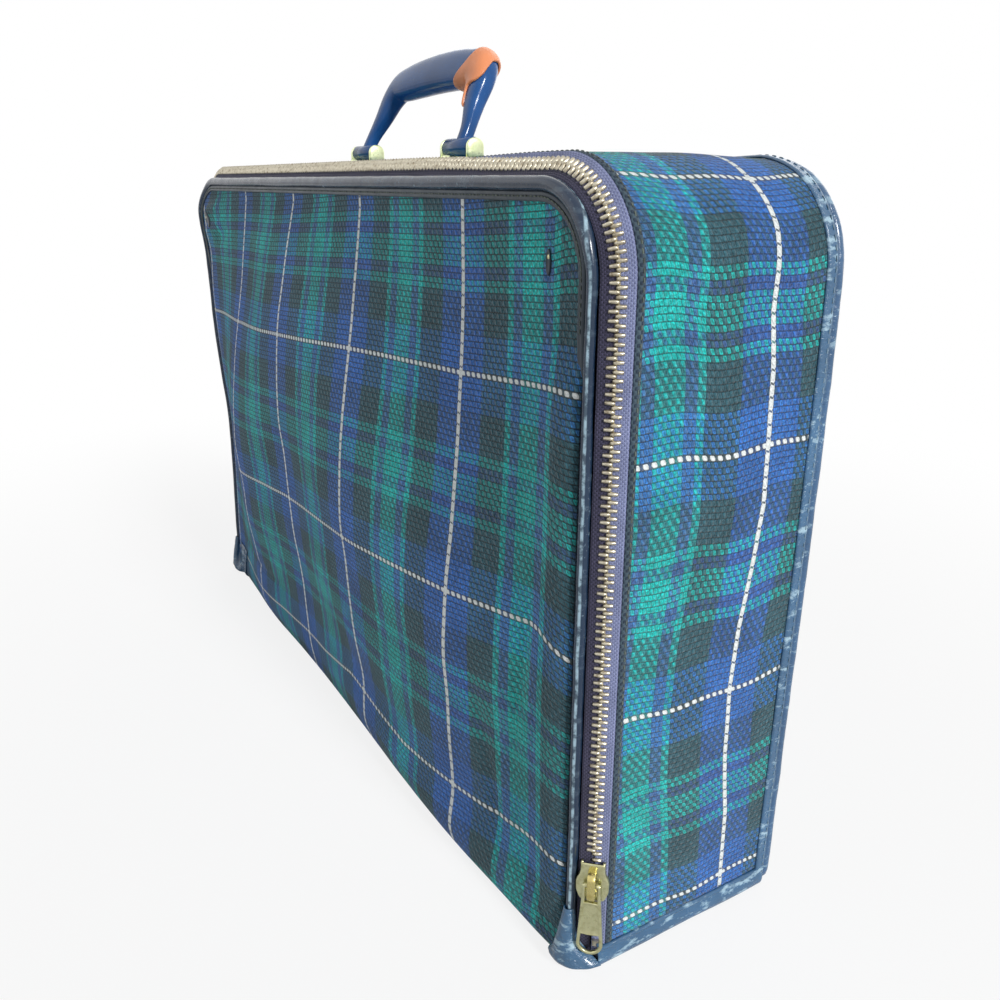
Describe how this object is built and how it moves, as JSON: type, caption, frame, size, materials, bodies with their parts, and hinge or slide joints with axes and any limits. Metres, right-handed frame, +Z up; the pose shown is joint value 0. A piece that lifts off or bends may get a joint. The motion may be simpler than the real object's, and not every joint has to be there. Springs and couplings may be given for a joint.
{
  "type": "suitcase",
  "caption": "Upright soft suitcase on a board frame with a fold-down zipped front lid, a swinging moulded top handle and a zip slider with a hanging pull.",
  "frame": {"origin": "the middle of the flat base that the case stands on, half way between its ends and between its back and the plane of the lid's front piping", "axes": "+Z up to the handle, +X to the end with the zip slider, -Y to the front lid"},
  "size_m": [0.5699, 0.1429, 0.4228],
  "materials": {
    "tartan": "coarse woven tartan, matt",
    "vinyl": "smooth vinyl, glossy",
    "facing": "vinyl strip, satin",
    "board": "pressed fibreboard, bare",
    "lining": "thin woven lining, matt",
    "tape": "woven tape, matt",
    "zip_metal": "antique brass, worn",
    "bracket_metal": "pale brass plate, polished",
    "steel": "plain",
    "moulded": "moulded, glossy",
    "leather": "smooth leather, satin"
  },
  "bodies": {
    "case": {"gusset_cover": "tartan", "gusset_board": "board", "gusset_lining": "lining", "bottom_panel": "vinyl", "back_binding": "vinyl", "back_piping": "vinyl", "back_cover": "tartan", "back_board": "board", "back_lining": "lining", "zip_teeth_body": "zip_metal", "zip_tape_body": "tape", "zip_stop_right": "zip_metal", "zip_stop_left": "zip_metal", "handle_bracket_right": "bracket_metal", "handle_pin_right": "zip_metal", "handle_bracket_left": "bracket_metal", "handle_pin_left": "zip_metal", "bracket_rivet_1": "zip_metal", "bracket_rivet_2": "zip_metal", "bracket_rivet_3": "zip_metal", "bracket_rivet_4": "zip_metal", "handle_backing_plate": "steel"},
    "lid": {"lid_panel": "tartan", "lid_lining": "lining", "lid_facing": "facing", "lid_piping": "vinyl", "zip_tape_lid": "tape", "zip_teeth_lid": "zip_metal", "lid_corner_right": "vinyl", "lid_corner_left": "vinyl", "lid_hinge_strip": "vinyl", "lid_rivet_right": "steel", "lid_rivet_left": "steel"},
    "handle": {"handle_grip": "moulded", "handle_tag": "leather"},
    "slider": {"slider_body": "zip_metal", "slider_bridge": "bracket_metal"},
    "pull": {"pull_tab": "zip_metal"}
  },
  "joints": [
    {"name": "lid_hinge", "type": "hinge", "parent": "case", "child": "lid", "pos_m": [0, -0.05131, 0], "axis": [1, 0, 0], "range_deg": [0, 175]},
    {"name": "handle_swing", "type": "hinge", "parent": "case", "child": "handle", "pos_m": [0, 0, 0.3666], "axis": [1, 0, 0], "range_deg": [-58, 98]},
    {"name": "slider_travel", "type": "slide", "parent": "case", "child": "slider", "axis": [0, 0, 1], "range_m": [0, 0.25]},
    {"name": "pull_swing", "type": "hinge", "parent": "slider", "child": "pull", "pos_m": [0.28192, -0.05586, 0.051], "axis": [-0.6925, -0.7214, 0], "range_deg": [0, 170]}
  ]
}
